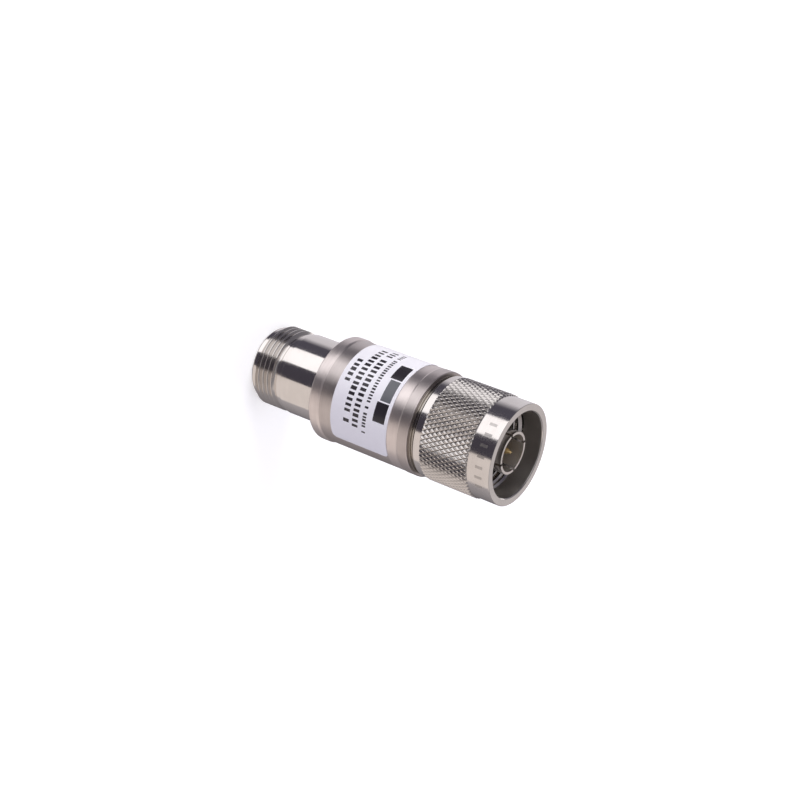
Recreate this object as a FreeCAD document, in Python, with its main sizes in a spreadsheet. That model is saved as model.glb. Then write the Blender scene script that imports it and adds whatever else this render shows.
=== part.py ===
import FreeCAD, Part
import math
import os
import Sketcher

# Coaxial attenuator with a screw-thread jack at one end and a plug with a
# coupling nut at the other. Millimetres. It stands on the jack's mouth: the
# axis is Z, the jack's face is at height 0 and the nut's open face is on top.

document = FreeCAD.newDocument("coaxial_attenuator")
sheet = document.addObject("Spreadsheet::Sheet", "sizes")

DRIVING_SIZES = {
    # jack: outside, from its face upwards
    "jack_face_diameter": 13.8,
    "jack_pilot_diameter": 14.6,
    "jack_pilot_bevel": 0.45,
    "jack_pilot_length": 1.15,
    "thread_diameter": 15.84,
    "thread_bevel": 0.35,
    "thread_length": 4.3,
    "thread_relief_diameter": 14.4,
    "thread_relief_length": 0.8,
    "thread_run_out": 0.32,
    "relief_run_out": 0.12,
    "jack_collar_diameter": 15.46,
    "jack_collar_length": 1.1,
    "jack_shank_diameter": 15.86,
    "jack_shank_length": 8.8,
    "jack_spigot_diameter": 14.0,
    "jack_spigot_length": 4.7,
    # jack: the coaxial line inside
    "mouth_bevel": 0.3,
    "mouth_diameter": 8.6,
    "mouth_depth": 4.05,
    "contact_seat_diameter": 8.08,
    "reference_depth": 9.1,
    "line_diameter": 7.0,
    "bead_diameter": 7.8,
    "bead_length": 3.0,
    "jack_bead_start": 12.4,
    # centre conductors
    "conductor_diameter": 3.04,
    "conductor_neck_diameter": 2.1,
    "jack_contact_reach": 5.0,
    "socket_diameter": 1.66,
    "socket_depth": 4.2,
    "socket_bevel": 0.15,
    "socket_slot_width": 0.22,
    "socket_slot_length": 3.9,
    "fork_depth": 1.5,
    "card_overlap": 1.3,
    "pin_diameter": 1.6,
    "pin_set_back": 5.3,
    "pin_length": 5.0,
    "pin_cone_length": 1.9,
    "pin_tip_diameter": 0.3,
    # housing
    "housing_length": 22.2,
    "rear_rim_diameter": 20.3,
    "rear_rim_length": 2.2,
    "rear_rim_bevel": 0.3,
    "label_seat_diameter": 19.87,
    "front_rim_diameter": 20.02,
    "front_rim_length": 2.1,
    "front_rim_bevel": 0.25,
    "rim_step_length": 0.12,
    "clamp_bore_diameter": 15.2,
    "plug_spigot_diameter": 16.0,
    "plug_spigot_length": 5.3,
    # label
    "label_width": 12.6,
    "label_offset": 5.1,
    "label_thickness": 0.08,
    "label_glue": 0.02,
    "label_angle": 154,
    "label_start": 176,
    "label_corner": 1.0,
    # attenuator card and its clamp
    "card_width": 8.0,
    "card_thickness": 0.8,
    "card_length": 11.2,
    "pad_thickness": 0.04,
    "pad_width": 2.0,
    "pad_length": 2.3,
    "ground_strip_width": 1.1,
    "film_thickness": 0.02,
    "clamp_length": 11.8,
    "clamp_split": 0.2,
    "channel_width": 5.7,
    "channel_height": 3.1,
    "spring_washer_bore": 11.0,
    "spring_washer_thickness": 0.25,
    # plug body
    "flange_washer_diameter": 18.9,
    "flange_washer_thickness": 0.28,
    "flange_diameter": 18.3,
    "flange_thickness": 0.42,
    "neck_diameter": 17.4,
    "neck_length": 0.32,
    "journal_diameter": 14.6,
    "journal_length": 4.2,
    "journal_bevel": 0.2,
    "ring_groove_diameter": 13.2,
    "ring_groove_height": 2.2,
    "contact_thread_diameter": 9.8,
    "contact_thread_length": 2.9,
    "outer_contact_diameter": 8.0,
    "outer_contact_bevel": 0.15,
    "outer_contact_slot_width": 0.5,
    "outer_contact_slot_length": 5.3,
    "outer_contact_set_back": 1.1,
    "gasket_bore": 9.7,
    "gasket_diameter": 14.2,
    "gasket_thickness": 1.4,
    # coupling nut
    "nut_length": 15.9,
    "nut_rear_gap": 0.08,
    "nut_float": 0.3,
    "nut_collar_diameter": 19.24,
    "nut_collar_length": 1.35,
    "knurl_diameter": 19.56,
    "knurl_length": 10.05,
    "knurl_depth": 0.25,
    "knurl_tooth_width": 1.46,
    "knurl_tooth_length": 2.5,
    "knurl_root_wall": 0.15,
    "nut_band_diameter": 19.04,
    "nut_face_bevel": 0.12,
    "nut_mouth_diameter": 16.1,
    "nut_mouth_bevel": 0.2,
    "nut_mouth_depth": 3.8,
    "nut_thread_diameter": 14.9,
    "nut_thread_bevel": 0.4,
    "nut_thread_length": 5.6,
    "nut_relief_diameter": 16.1,
    "nut_relief_length": 3.0,
    "snap_ring_bore": 13.5,
    "snap_ring_diameter": 16.0,
    "snap_ring_thickness": 0.7,
    "snap_ring_angle": 336,
    # clearances: between fixed pieces, in the sliding groove, on the journal
    "fit_gap": 0.03,
    "ring_gap": 0.05,
    "journal_gap": 0.06,
}

for row, (alias, number) in enumerate(DRIVING_SIZES.items(), start=1):
    sheet.set(f"A{row}", alias)
    sheet.set(f"B{row}", str(number))
    sheet.setAlias(f"B{row}", alias)
document.recompute()


class Size:
    """A length that carries its formula on the sheet and its value."""

    def __init__(self, formula, value):
        self.formula = formula
        self.value = value

    def combined(self, sign, other, value):
        return Size(f"({self.formula} {sign} {as_size(other).formula})", value)

    def __add__(self, other):
        return self.combined("+", other, self.value + as_size(other).value)

    def __sub__(self, other):
        return self.combined("-", other, self.value - as_size(other).value)

    def __mul__(self, other):
        return self.combined("*", other, self.value * as_size(other).value)

    def __truediv__(self, other):
        return self.combined("/", other, self.value / as_size(other).value)


def as_size(number):
    if isinstance(number, Size):
        return number
    return Size(str(number), number)


def size(alias):
    """The driving size with this name."""
    return Size(f"sizes.{alias}", DRIVING_SIZES[alias])


def radius(alias):
    """Half of the driving diameter with this name."""
    return size(alias) / 2


AXIS = as_size(0)
GROUND = as_size(0)


def new_body(name, turn=None):
    """A sub-part, turned about the axis when its features need it."""
    body = document.addObject("PartDesign::Body", name)
    body.Label = name
    if turn is None:
        turn = as_size(0)
    body.Placement = FreeCAD.Placement(
        FreeCAD.Vector(0, 0, 0), FreeCAD.Rotation(FreeCAD.Vector(0, 0, 1), turn.value))
    body.setExpression("Placement.Rotation.Angle", turn.formula)
    return body


def origin_feature(body, role):
    for feature in body.Origin.OriginFeatures:
        if feature.Role == role:
            return feature
    raise ValueError(role)


def hold_point(sketch, line, across, up):
    """Ties a line's first point to its distances from the sketch's origin."""
    if across is AXIS:
        sketch.addConstraint(Sketcher.Constraint("PointOnObject", line, 1, -2))
    else:
        place = sketch.addConstraint(Sketcher.Constraint("DistanceX", -1, 1, line, 1, across.value))
        sketch.setExpression(f"Constraints[{place}]", across.formula)
    if up is GROUND:
        sketch.addConstraint(Sketcher.Constraint("PointOnObject", line, 1, -1))
    else:
        place = sketch.addConstraint(Sketcher.Constraint("DistanceY", -1, 1, line, 1, up.value))
        sketch.setExpression(f"Constraints[{place}]", up.formula)


def outline_sketch(body, name, plane, corners):
    """A closed outline of straight lines, each corner held by two sizes."""
    sketch = body.newObject("Sketcher::SketchObject", f"{body.Name}_{name}")
    sketch.AttachmentSupport = [(origin_feature(body, plane), "")]
    sketch.MapMode = "FlatFace"
    points = [FreeCAD.Vector(across.value, up.value, 0) for across, up in corners]
    for start, end in zip(points, points[1:] + points[:1]):
        sketch.addGeometry(Part.LineSegment(start, end), False)
    for line in range(len(points)):
        following = (line + 1) % len(points)
        sketch.addConstraint(Sketcher.Constraint("Coincident", line, 2, following, 1))
    for line, (across, up) in enumerate(corners):
        hold_point(sketch, line, across, up)
    return sketch


def turned(name, corners, turn=None, angle=None):
    """A turned piece: the outline of (radius, height) corners spun on Z."""
    body = new_body(name, turn)
    sketch = outline_sketch(body, "outline", "XZ_Plane", corners)
    spin = body.newObject("PartDesign::Revolution", f"{name}_turning")
    spin.Profile = sketch
    spin.ReferenceAxis = (sketch, ["V_Axis"])
    spin.Angle = 360
    if angle is not None:
        spin.setExpression("Angle", angle.formula)
    document.recompute()
    return body


def slot_sketch(body, name, plane, half_width, low, high):
    """A rectangle centred on the axis, from a low to a high height."""
    sketch = body.newObject("Sketcher::SketchObject", f"{body.Name}_{name}")
    sketch.AttachmentSupport = [(origin_feature(body, plane), "")]
    sketch.MapMode = "FlatFace"
    corners = [(-1, low), (1, low), (1, high), (-1, high)]
    points = [FreeCAD.Vector(side * half_width.value, up.value, 0) for side, up in corners]
    for start, end in zip(points, points[1:] + points[:1]):
        sketch.addGeometry(Part.LineSegment(start, end), False)
    for line in range(4):
        sketch.addConstraint(Sketcher.Constraint("Coincident", line, 2, (line + 1) % 4, 1))
    for line, up in ((0, low), (2, high)):
        sketch.addConstraint(Sketcher.Constraint("Symmetric", line, 1, line, 2, -2))
        place = sketch.addConstraint(Sketcher.Constraint("DistanceY", -1, 1, line, 1, up.value))
        sketch.setExpression(f"Constraints[{place}]", up.formula)
    for line in (0, 1):
        place = sketch.addConstraint(
            Sketcher.Constraint("DistanceX", -1, 1, line, 2, half_width.value))
        sketch.setExpression(f"Constraints[{place}]", half_width.formula)
    return sketch


def cut_through(body, name, sketch):
    """Pockets the sketch through the whole piece, both ways."""
    before = body.Shape.Volume
    pocket = body.newObject("PartDesign::Pocket", f"{body.Name}_{name}")
    pocket.Profile = sketch
    pocket.Midplane = True
    pocket.Type = "ThroughAll"
    document.recompute()
    if body.Shape.Volume >= before:
        raise ValueError(f"{pocket.Name} cut nothing")
    return pocket


def repeat_turned(body, feature, angle, count):
    """Repeats a feature about the axis."""
    pattern = body.newObject("PartDesign::PolarPattern", f"{feature.Name}_pattern")
    pattern.Originals = [feature]
    pattern.Axis = (origin_feature(body, "Z_Axis"), [""])
    pattern.Angle = angle
    pattern.Occurrences = count
    body.Tip = pattern
    document.recompute()


def knurl_teeth(name, bore, root, crest, low, high):
    """A sleeve whose outside is a diamond knurl of four-sided pointed teeth.

    Crests and roots take turns round each row and from row to row. The low flat
    flanks between them meet in crossed grooves.
    """
    teeth_round = round(2 * math.pi * crest.value / size("knurl_tooth_width").value)
    teeth_long = round((high - low).value / size("knurl_tooth_length").value)
    columns = 2 * teeth_round
    rows = 2 * teeth_long

    def corner(row, column):
        reach = (crest if (row + column) % 2 == 0 else root).value
        turn = math.pi * (column % columns) / teeth_round
        up = low.value + (high.value - low.value) * row / rows
        return FreeCAD.Vector(reach * math.cos(turn), reach * math.sin(turn), up)

    def facet(points):
        return Part.Face(Part.makePolygon(points + points[:1]))

    flanks = []
    for row in range(rows):
        for column in range(columns):
            cell = [corner(row, column), corner(row, column + 1),
                    corner(row + 1, column + 1), corner(row + 1, column)]
            fold = 1 if (row + column) % 2 == 0 else 0
            cell = cell[fold:] + cell[:fold]
            flanks += [facet(cell[:3]), facet([cell[0], cell[2], cell[3]])]
    ends = [facet([corner(row, column) for column in range(columns)]) for row in (0, rows)]
    ends[0].reverse()
    shell = Part.makeShell(flanks + ends)
    shell.sewShape()
    core = Part.makeCylinder(bore.value, high.value - low.value, FreeCAD.Vector(0, 0, low.value))
    sleeve = document.addObject("Part::Feature", name)
    sleeve.Shape = Part.makeSolid(shell).cut(core)
    return sleeve


def round_edges(body, name, amount, is_wanted):
    """Fillets the edges that pass the test."""
    base = body.Tip
    edges = [f"Edge{place}" for place, edge in enumerate(base.Shape.Edges, start=1)
             if is_wanted(edge)]
    fillet = body.newObject("PartDesign::Fillet", f"{body.Name}_{name}")
    fillet.Base = (base, edges)
    fillet.Radius = amount.value
    fillet.setExpression("Radius", amount.formula)
    body.Tip = fillet
    document.recompute()


def padded_box(name, half_width, low, high, back, front):
    """A block centred on X, between two heights and two distances on Y."""
    body = new_body(name)
    sketch = slot_sketch(body, "face", "XZ_Plane", half_width, low, high)
    sketch.AttachmentOffset = FreeCAD.Placement(
        FreeCAD.Vector(0, 0, -front.value), FreeCAD.Rotation(0, 0, 0))
    sketch.setExpression("AttachmentOffset.Base.z", f"-({front.formula})")
    pad = body.newObject("PartDesign::Pad", f"{name}_block")
    pad.Profile = sketch
    pad.Length = (front - back).value
    pad.setExpression("Length", (front - back).formula)
    document.recompute()


# Heights along the axis, from the jack's face to the nut's face.
pilot_end = size("jack_pilot_length")
thread_start = pilot_end + size("thread_bevel")
thread_end = thread_start + size("thread_length")
relief_end = thread_end + size("thread_relief_length")
collar_end = relief_end + size("jack_collar_length")
housing_start = collar_end + size("jack_shank_length")
jack_spigot_end = housing_start + size("jack_spigot_length")
housing_end = housing_start + size("housing_length")
clamp_end = jack_spigot_end + size("clamp_length")
plug_spigot_start = housing_end - size("plug_spigot_length") + size("fit_gap")
flange_washer_end = housing_end + size("flange_washer_thickness")
flange_end = flange_washer_end + size("flange_thickness")
neck_end = flange_end + size("neck_length")
journal_end = neck_end + size("journal_length")
nut_start = neck_end + size("nut_rear_gap")
nut_end = nut_start + size("nut_length")
reference_end = nut_end - size("outer_contact_set_back")

# Heights of the inner parts.
jack_bead_start = size("jack_bead_start")
jack_bead_end = jack_bead_start + size("bead_length")
jack_contact_tip = size("reference_depth") - size("jack_contact_reach")
plug_bead_end = journal_end - size("contact_thread_length")
plug_bead_start = plug_bead_end - size("bead_length")
card_start = jack_spigot_end + (size("clamp_length") - size("card_length")) / 2
card_end = card_start + size("card_length")
ring_groove_start = neck_end + size("ring_groove_height")
snap_ring_start = ring_groove_start + size("ring_gap")
snap_ring_end = snap_ring_start + size("snap_ring_thickness")
ring_groove_end = snap_ring_end + size("nut_float") + size("ring_gap")

fit = size("fit_gap")

# Jack body: turned brass. A pilot leads into the coupling thread, then come a
# relief, a narrow collar, the smooth shank and the spigot inside the housing.
turned("jack_body", [
    (radius("mouth_diameter") + size("mouth_bevel"), GROUND),
    (radius("jack_face_diameter"), GROUND),
    (radius("jack_pilot_diameter"), size("jack_pilot_bevel")),
    (radius("jack_pilot_diameter"), pilot_end),
    (radius("thread_diameter"), thread_start),
    (radius("thread_diameter"), thread_end),
    (radius("thread_relief_diameter"), thread_end + size("thread_run_out")),
    (radius("thread_relief_diameter"), relief_end - size("relief_run_out")),
    (radius("jack_collar_diameter"), relief_end),
    (radius("jack_collar_diameter"), collar_end),
    (radius("jack_shank_diameter"), collar_end + size("fit_gap")),
    (radius("jack_shank_diameter"), housing_start),
    (radius("jack_spigot_diameter"), housing_start),
    (radius("jack_spigot_diameter"), jack_spigot_end),
    (radius("bead_diameter") + fit, jack_spigot_end),
    (radius("bead_diameter") + fit, jack_bead_start),
    (radius("line_diameter"), jack_bead_start),
    (radius("line_diameter"), size("reference_depth")),
    (radius("contact_seat_diameter"), size("reference_depth")),
    (radius("contact_seat_diameter"), size("mouth_depth")),
    (radius("mouth_diameter"), size("mouth_depth")),
    (radius("mouth_diameter"), size("mouth_bevel")),
])

# Jack insulator: a white plastic bead that holds the centre contact by its neck.
turned("jack_insulator", [
    (radius("conductor_neck_diameter") + fit, jack_bead_start),
    (radius("bead_diameter"), jack_bead_start),
    (radius("bead_diameter"), jack_bead_end),
    (radius("conductor_neck_diameter") + fit, jack_bead_end),
])

# Retaining sleeve: presses the bead against its step and carries on the bore.
turned("jack_retaining_sleeve", [
    (radius("line_diameter"), jack_bead_end),
    (radius("bead_diameter"), jack_bead_end),
    (radius("bead_diameter"), jack_spigot_end),
    (radius("line_diameter"), jack_spigot_end),
])

# Jack centre contact: a sprung socket with four slots, and a fork that grips
# the card's end.
jack_contact_end = card_start + size("card_overlap")
socket_end = jack_contact_tip + size("socket_depth")
jack_contact = turned("jack_center_contact", [
    (radius("socket_diameter") + size("socket_bevel"), jack_contact_tip),
    (radius("conductor_diameter"), jack_contact_tip),
    (radius("conductor_diameter"), jack_bead_start),
    (radius("conductor_neck_diameter"), jack_bead_start),
    (radius("conductor_neck_diameter"), jack_bead_end),
    (radius("conductor_diameter"), jack_bead_end),
    (radius("conductor_diameter"), jack_contact_end),
    (AXIS, jack_contact_end),
    (AXIS, socket_end),
    (radius("socket_diameter"), socket_end),
    (radius("socket_diameter"), jack_contact_tip + size("socket_bevel")),
])
socket_slot = cut_through(jack_contact, "slot", slot_sketch(
    jack_contact, "slot_face", "XZ_Plane", size("socket_slot_width") / 2,
    jack_contact_tip - size("socket_bevel"), jack_contact_tip + size("socket_slot_length")))
repeat_turned(jack_contact, socket_slot, 90, 2)
fork_half_gap = size("card_thickness") / 2 + size("pad_thickness") + fit
cut_through(jack_contact, "fork", slot_sketch(
    jack_contact, "fork_face", "YZ_Plane", fork_half_gap,
    jack_contact_end - size("fork_depth"), jack_contact_end + size("fit_gap")))

# Housing: a turned tube. The label lies in the long shallow seat between a
# rim at each end, and both connectors screw into its bore.
turned("housing", [
    (radius("jack_spigot_diameter") + fit, housing_start),
    (radius("rear_rim_diameter") - size("rear_rim_bevel"), housing_start),
    (radius("rear_rim_diameter"), housing_start + size("rear_rim_bevel")),
    (radius("rear_rim_diameter"), housing_start + size("rear_rim_length")),
    (radius("label_seat_diameter"),
     housing_start + size("rear_rim_length") + size("rim_step_length")),
    (radius("label_seat_diameter"),
     housing_end - size("front_rim_length") - size("rim_step_length")),
    (radius("front_rim_diameter"), housing_end - size("front_rim_length")),
    (radius("front_rim_diameter"), housing_end - size("front_rim_bevel")),
    (radius("front_rim_diameter") - size("front_rim_bevel"), housing_end),
    (radius("plug_spigot_diameter") + fit, housing_end),
    (radius("plug_spigot_diameter") + fit, housing_end - size("plug_spigot_length")),
    (radius("clamp_bore_diameter"), housing_end - size("plug_spigot_length")),
    (radius("clamp_bore_diameter"), jack_spigot_end),
    (radius("jack_spigot_diameter") + fit, jack_spigot_end),
])

# Rating label: thin plastic film, rounded at its corners, glued in the seat.
label_start = housing_start + size("label_offset")
label_end = label_start + size("label_width")
label_back = radius("label_seat_diameter") + size("label_glue")
label = turned("rating_label", [
    (label_back, label_start),
    (label_back + size("label_thickness"), label_start),
    (label_back + size("label_thickness"), label_end),
    (label_back, label_end),
], turn=size("label_start"), angle=size("label_angle"))


def is_label_corner(edge):
    return edge.Length < size("label_thickness").value * 1.01 and isinstance(edge.Curve, Part.Line)


round_edges(label, "corners", size("label_corner"), is_label_corner)

# Attenuator card: a ceramic strip on edge in the axis plane, printed on one
# side with a resistor film between end pads and ground strips.
card_front = size("card_thickness") / 2
card_back = card_front * -1
padded_box("attenuator_card", size("card_width") / 2, card_start, card_end,
           card_back, card_front)

film_start = card_start + size("pad_length")
film_end = card_end - size("pad_length")
film_half_width = size("card_width") / 2 - size("ground_strip_width")
padded_box("resistor_film", film_half_width, film_start, film_end,
           card_front, card_front + size("film_thickness"))


def card_print(name, boxes):
    """Several thin blocks on the card's face as one printed layer."""
    layer = document.addObject("Part::Compound", name)
    layer.Label = name
    blocks = []
    for place, (left, low, width, height) in enumerate(boxes, start=1):
        block = document.addObject("Part::Box", f"{name}_{place}")
        block.setExpression("Length", width.formula)
        block.setExpression("Width", size("pad_thickness").formula)
        block.setExpression("Height", height.formula)
        block.setExpression("Placement.Base.x", left.formula)
        block.setExpression("Placement.Base.y", card_front.formula)
        block.setExpression("Placement.Base.z", low.formula)
        blocks.append(block)
    layer.Links = blocks
    return layer


# Card electrodes: silver print, a pad at each end and a strip along each edge.
pad_left = size("pad_width") / -2
strip_height = size("card_length")
card_print("card_electrodes", [
    (pad_left, card_start, size("pad_width"), size("pad_length")),
    (pad_left, film_end, size("pad_width"), size("pad_length")),
    (size("card_width") / -2, card_start, size("ground_strip_width"), strip_height),
    (film_half_width, card_start, size("ground_strip_width"), strip_height),
])


def clamp_half(name, side, card_gap):
    """Half of the split sleeve that holds the card's long edges.

    side is 1 for the half in front of the card and -1 for the half behind it;
    card_gap is the distance from the card's middle plane to the half's seat.
    """
    body = new_body(name)
    sketch = body.newObject("Sketcher::SketchObject", f"{name}_section")
    sketch.AttachmentSupport = [(origin_feature(body, "XY_Plane"), "")]
    sketch.MapMode = "FlatFace"
    outer = radius("clamp_bore_diameter") - fit
    split = size("clamp_split") / 2
    seat_half_width = size("card_width") / 2 + fit
    channel_half_width = size("channel_width") / 2
    steps = [
        (seat_half_width, split),
        (seat_half_width, card_gap),
        (channel_half_width, card_gap),
        (channel_half_width, size("channel_height")),
    ]
    reach = (outer.value ** 2 - split.value ** 2) ** 0.5
    right = [(reach, split.value)] + [(across.value, up.value) for across, up in steps]
    points = right + [(-across, up) for across, up in reversed(right)]
    points = [FreeCAD.Vector(across, side * up, 0) for across, up in points]
    for start, end in zip(points, points[1:]):
        sketch.addGeometry(Part.LineSegment(start, end), False)
    last = len(points) - 1
    arc_from, arc_to = (points[0], points[-1]) if side > 0 else (points[-1], points[0])
    circle = Part.Circle(FreeCAD.Vector(0, 0, 0), FreeCAD.Vector(0, 0, 1), outer.value)
    sketch.addGeometry(
        Part.ArcOfCircle(circle, circle.parameter(arc_from), circle.parameter(arc_to)), False)
    arc_first, arc_last = (2, 1) if side > 0 else (1, 2)
    for line in range(last - 1):
        sketch.addConstraint(Sketcher.Constraint("Coincident", line, 2, line + 1, 1))
    sketch.addConstraint(Sketcher.Constraint("Coincident", last, arc_first, last - 1, 2))
    sketch.addConstraint(Sketcher.Constraint("Coincident", last, arc_last, 0, 1))
    sketch.addConstraint(Sketcher.Constraint("Coincident", last, 3, -1, 1))
    place = sketch.addConstraint(Sketcher.Constraint("Radius", last, outer.value))
    sketch.setExpression(f"Constraints[{place}]", outer.formula)
    for line, (across, up) in enumerate(steps, start=1):
        place = sketch.addConstraint(
            Sketcher.Constraint("DistanceX", -1, 1, line, 1, across.value))
        sketch.setExpression(f"Constraints[{place}]", across.formula)
    mirror = {line: last - line for line in range(1, 5)}
    for line, opposite in mirror.items():
        sketch.addConstraint(Sketcher.Constraint("Symmetric", line, 1, opposite - 1, 2, -2))
    heights = {0: split, 1: split, 2: card_gap, 3: card_gap, 4: size("channel_height")}
    for line, up in heights.items():
        first, second = ((-1, 1), (line, 1)) if side > 0 else ((line, 1), (-1, 1))
        place = sketch.addConstraint(Sketcher.Constraint("DistanceY", *first, *second, up.value))
        sketch.setExpression(f"Constraints[{place}]", up.formula)
    sketch.addConstraint(Sketcher.Constraint("Horizontal", last - 1))
    sketch.AttachmentOffset = FreeCAD.Placement(
        FreeCAD.Vector(0, 0, jack_spigot_end.value), FreeCAD.Rotation(0, 0, 0))
    sketch.setExpression("AttachmentOffset.Base.z", jack_spigot_end.formula)
    pad = body.newObject("PartDesign::Pad", f"{name}_sleeve")
    pad.Profile = sketch
    pad.Length = size("clamp_length").value
    pad.setExpression("Length", size("clamp_length").formula)
    document.recompute()


# Card clamps: two half sleeves that press on the card's long edges, carry its
# ground current and take its heat to the housing.
clamp_half("card_clamp_front", 1, card_front + size("pad_thickness"))
clamp_half("card_clamp_back", -1, card_front)

# Spring washer: a cone that keeps the clamps pushed against the jack's spigot.
washer_outside = radius("clamp_bore_diameter") - fit
washer_rise = (plug_spigot_start - clamp_end) - size("spring_washer_thickness")
turned("spring_washer", [
    (radius("spring_washer_bore"), clamp_end),
    (radius("spring_washer_bore"), clamp_end + size("spring_washer_thickness")),
    (washer_outside, clamp_end + washer_rise + size("spring_washer_thickness")),
    (washer_outside, clamp_end + washer_rise),
])

# Flange washer: a thin shim between the housing and the plug's flange.
turned("flange_washer", [
    (radius("plug_spigot_diameter") + fit, housing_end),
    (radius("flange_washer_diameter"), housing_end),
    (radius("flange_washer_diameter"), flange_washer_end),
    (radius("plug_spigot_diameter") + fit, flange_washer_end),
])

# Plug body: screwed into the housing. Its journal carries the coupling nut and
# has the groove of the snap ring; its bore takes the bead and outer contact.
turned("plug_body", [
    (radius("line_diameter"), plug_spigot_start),
    (radius("plug_spigot_diameter"), plug_spigot_start),
    (radius("plug_spigot_diameter"), flange_washer_end),
    (radius("flange_diameter"), flange_washer_end),
    (radius("flange_diameter"), flange_end),
    (radius("neck_diameter"), flange_end),
    (radius("neck_diameter"), neck_end),
    (radius("journal_diameter"), neck_end),
    (radius("journal_diameter"), ring_groove_start),
    (radius("ring_groove_diameter"), ring_groove_start),
    (radius("ring_groove_diameter"), ring_groove_end),
    (radius("journal_diameter"), ring_groove_end),
    (radius("journal_diameter"), journal_end - size("journal_bevel")),
    (radius("journal_diameter") - size("journal_bevel"), journal_end),
    (radius("contact_thread_diameter") + fit, journal_end),
    (radius("contact_thread_diameter") + fit, plug_bead_end),
    (radius("bead_diameter") + fit, plug_bead_end),
    (radius("bead_diameter") + fit, plug_bead_start),
    (radius("line_diameter"), plug_bead_start),
])

# Plug insulator: the same plastic bead as in the jack.
turned("plug_insulator", [
    (radius("conductor_neck_diameter") + fit, plug_bead_start),
    (radius("bead_diameter"), plug_bead_start),
    (radius("bead_diameter"), plug_bead_end),
    (radius("conductor_neck_diameter") + fit, plug_bead_end),
])

# Plug outer contact: a sprung tube with four slots, screwed into the body.
outer_contact = turned("plug_outer_contact", [
    (radius("line_diameter"), plug_bead_end),
    (radius("contact_thread_diameter"), plug_bead_end),
    (radius("contact_thread_diameter"), journal_end),
    (radius("outer_contact_diameter"), journal_end),
    (radius("outer_contact_diameter"), reference_end - size("outer_contact_bevel")),
    (radius("outer_contact_diameter") - size("outer_contact_bevel"), reference_end),
    (radius("line_diameter"), reference_end),
], turn=as_size(45))
contact_slot = cut_through(outer_contact, "slot", slot_sketch(
    outer_contact, "slot_face", "XZ_Plane", size("outer_contact_slot_width") / 2,
    reference_end - size("outer_contact_slot_length"), reference_end + size("fit_gap")))
repeat_turned(outer_contact, contact_slot, 90, 2)

# Plug centre pin: gold-plated brass with a long point, a neck in the bead and
# a fork on the card.
plug_pin_start = card_end - size("card_overlap")
pin_shoulder = reference_end - size("pin_set_back")
pin_end = pin_shoulder + size("pin_length")
center_pin = turned("plug_center_pin", [
    (AXIS, plug_pin_start),
    (radius("conductor_diameter"), plug_pin_start),
    (radius("conductor_diameter"), plug_bead_start),
    (radius("conductor_neck_diameter"), plug_bead_start),
    (radius("conductor_neck_diameter"), plug_bead_end),
    (radius("conductor_diameter"), plug_bead_end),
    (radius("conductor_diameter"), pin_shoulder),
    (radius("pin_diameter"), pin_shoulder),
    (radius("pin_diameter"), pin_end - size("pin_cone_length")),
    (radius("pin_tip_diameter"), pin_end),
    (AXIS, pin_end),
])
cut_through(center_pin, "fork", slot_sketch(
    center_pin, "fork_face", "YZ_Plane", fork_half_gap,
    plug_pin_start - size("fit_gap"), plug_pin_start + size("fork_depth")))

# Mating gasket: a flat rubber ring at the foot of the outer contact.
turned("mating_gasket", [
    (radius("gasket_bore"), journal_end),
    (radius("gasket_diameter"), journal_end),
    (radius("gasket_diameter"), journal_end + size("gasket_thickness")),
    (radius("gasket_bore"), journal_end + size("gasket_thickness")),
])

# Snap ring: an open ring that sits in the grooves of the body and the nut.
turned("snap_ring", [
    (radius("snap_ring_bore"), snap_ring_start),
    (radius("snap_ring_diameter"), snap_ring_start),
    (radius("snap_ring_diameter"), snap_ring_end),
    (radius("snap_ring_bore"), snap_ring_end),
], angle=size("snap_ring_angle"))

# Coupling nut: a turned brass blank with a knurl rolled round its middle.
# Inside are the mouth, the coupling thread, a relief over the gasket and the
# groove of the snap ring.
knurl_start = nut_start + size("nut_collar_length")
knurl_end = knurl_start + size("knurl_length")
knurl_root = radius("knurl_diameter") - size("knurl_depth")
knurl_floor = knurl_root - size("knurl_root_wall")
nut_bore = radius("journal_diameter") + size("journal_gap")
nut_groove_start = snap_ring_start - size("ring_gap")
nut_groove_end = snap_ring_end + size("ring_gap")
nut_thread_end = nut_end - size("nut_mouth_depth")
nut_thread_start = nut_thread_end - size("nut_thread_length")
turned("nut_blank", [
    (nut_bore, nut_start),
    (radius("nut_collar_diameter"), nut_start),
    (radius("nut_collar_diameter"), knurl_start),
    (knurl_floor, knurl_start),
    (knurl_floor, knurl_end),
    (radius("nut_band_diameter"), knurl_end),
    (radius("nut_band_diameter"), nut_end - size("nut_face_bevel")),
    (radius("nut_band_diameter") - size("nut_face_bevel"), nut_end),
    (radius("nut_mouth_diameter") + size("nut_mouth_bevel"), nut_end),
    (radius("nut_mouth_diameter"), nut_end - size("nut_mouth_bevel")),
    (radius("nut_mouth_diameter"), nut_thread_end),
    (radius("nut_thread_diameter") + size("nut_thread_bevel"), nut_thread_end),
    (radius("nut_thread_diameter"), nut_thread_end - size("nut_thread_bevel")),
    (radius("nut_thread_diameter"), nut_thread_start),
    (radius("nut_relief_diameter"), nut_thread_start),
    (radius("nut_relief_diameter"), nut_thread_start - size("nut_relief_length")),
    (nut_bore, nut_thread_start - size("nut_relief_length")),
    (nut_bore, nut_groove_end),
    (radius("snap_ring_diameter") + size("ring_gap"), nut_groove_end),
    (radius("snap_ring_diameter") + size("ring_gap"), nut_groove_start),
    (nut_bore, nut_groove_start),
])

knurl_teeth("nut_knurl", knurl_floor, knurl_root, radius("knurl_diameter"),
            knurl_start, knurl_end)
knurled = document.addObject("Part::MultiFuse", "coupling_nut")
knurled.Shapes = [document.getObject("nut_blank"), document.getObject("nut_knurl")]

document.recompute()

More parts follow.
